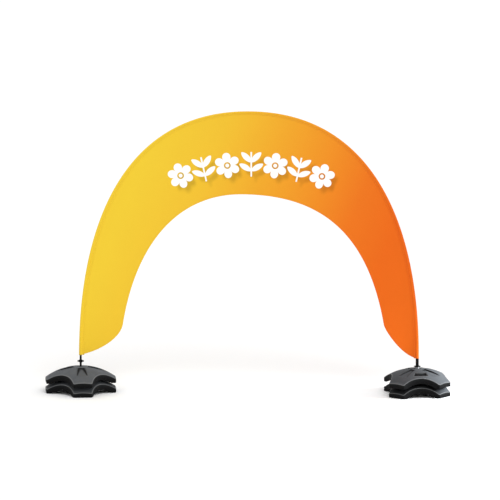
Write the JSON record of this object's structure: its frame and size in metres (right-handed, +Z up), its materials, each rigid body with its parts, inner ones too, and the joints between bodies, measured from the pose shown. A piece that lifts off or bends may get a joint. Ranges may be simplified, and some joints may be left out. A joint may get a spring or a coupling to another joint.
{
  "type": "arch banner with bow pole and weighted bases",
  "caption": "Free-standing arch of stretched gradient cloth on a bent pole, its feet on stacked four-armed weighted base plates.",
  "frame": {"origin": "on the floor, at the middle of the whole object's width and depth", "axes": "+Z up, +X to the right along the arch, +Y towards the back, the arch standing in the plane y = 0"},
  "size_m": [4.2362, 0.7474, 2.9671],
  "materials": {
    "panel_cloth": "printed knitted polyester, yellow to orange gradient",
    "sleeve_cloth": "the same printed knitted polyester",
    "pole": "black glass-fibre tube, satin",
    "plate_plastic": "black moulded plastic, finely grained",
    "fitting_plastic": "black moulded fitting",
    "spindle_metal": "black coated steel",
    "washer_steel": "zinc-plated steel"
  },
  "bodies": {
    "root": {"panel": "panel_cloth", "pole_sleeve": "sleeve_cloth", "bow_pole": "pole", "left_lower_plate": "plate_plastic", "left_upper_plate": "plate_plastic", "right_lower_plate": "plate_plastic", "right_upper_plate": "plate_plastic", "left_spindle": "spindle_metal", "right_spindle": "spindle_metal", "left_washer": "washer_steel", "right_washer": "washer_steel", "left_collar": "fitting_plastic", "right_collar": "fitting_plastic"}
  },
  "joints": []
}
